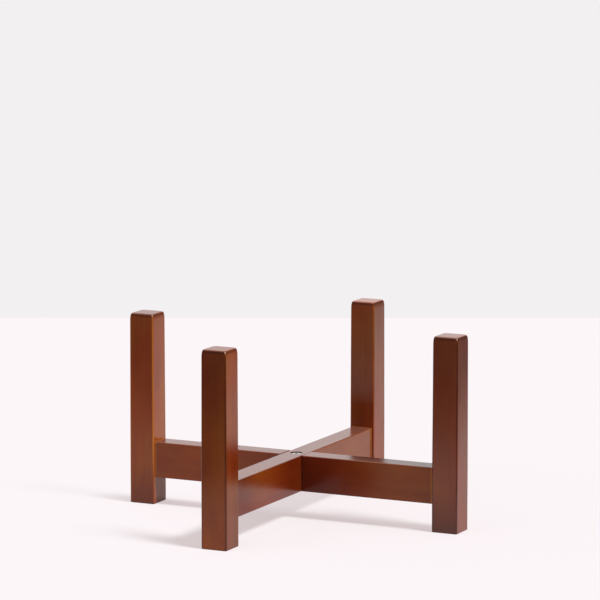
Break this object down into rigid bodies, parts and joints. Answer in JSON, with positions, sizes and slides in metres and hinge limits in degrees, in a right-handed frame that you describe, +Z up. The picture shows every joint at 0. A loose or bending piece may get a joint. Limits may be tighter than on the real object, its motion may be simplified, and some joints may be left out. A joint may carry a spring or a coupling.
{
  "type": "plant stand",
  "caption": "Low wooden plant stand: square legs round the pot, joined by rails that cross in a half lap and carry it.",
  "frame": {"origin": "on the floor, under the middle of the crossing", "axes": "+Z up; the lower rail runs along X and the upper rail along Y, so a leg stands on each half axis"},
  "size_m": [0.3536, 0.3536, 0.19],
  "materials": {
    "stained_wood": "red-brown stain under a clear semi-gloss coat",
    "dowel_wood": "bare beech",
    "bolt_steel": "bright plated steel",
    "insert_zinc": "zinc-plated"
  },
  "bodies": {
    "root": {"leg_left": "stained_wood", "leg_front": "stained_wood", "leg_right": "stained_wood", "leg_back": "stained_wood", "lower_rail": "stained_wood", "upper_rail": "stained_wood", "dowel_left_low": "dowel_wood", "dowel_left_high": "dowel_wood", "dowel_front_low": "dowel_wood", "dowel_front_high": "dowel_wood", "dowel_right_low": "dowel_wood", "dowel_right_high": "dowel_wood", "dowel_back_low": "dowel_wood", "dowel_back_high": "dowel_wood", "centre_bolt": "bolt_steel", "washer": "bolt_steel", "threaded_insert": "insert_zinc"}
  },
  "joints": []
}
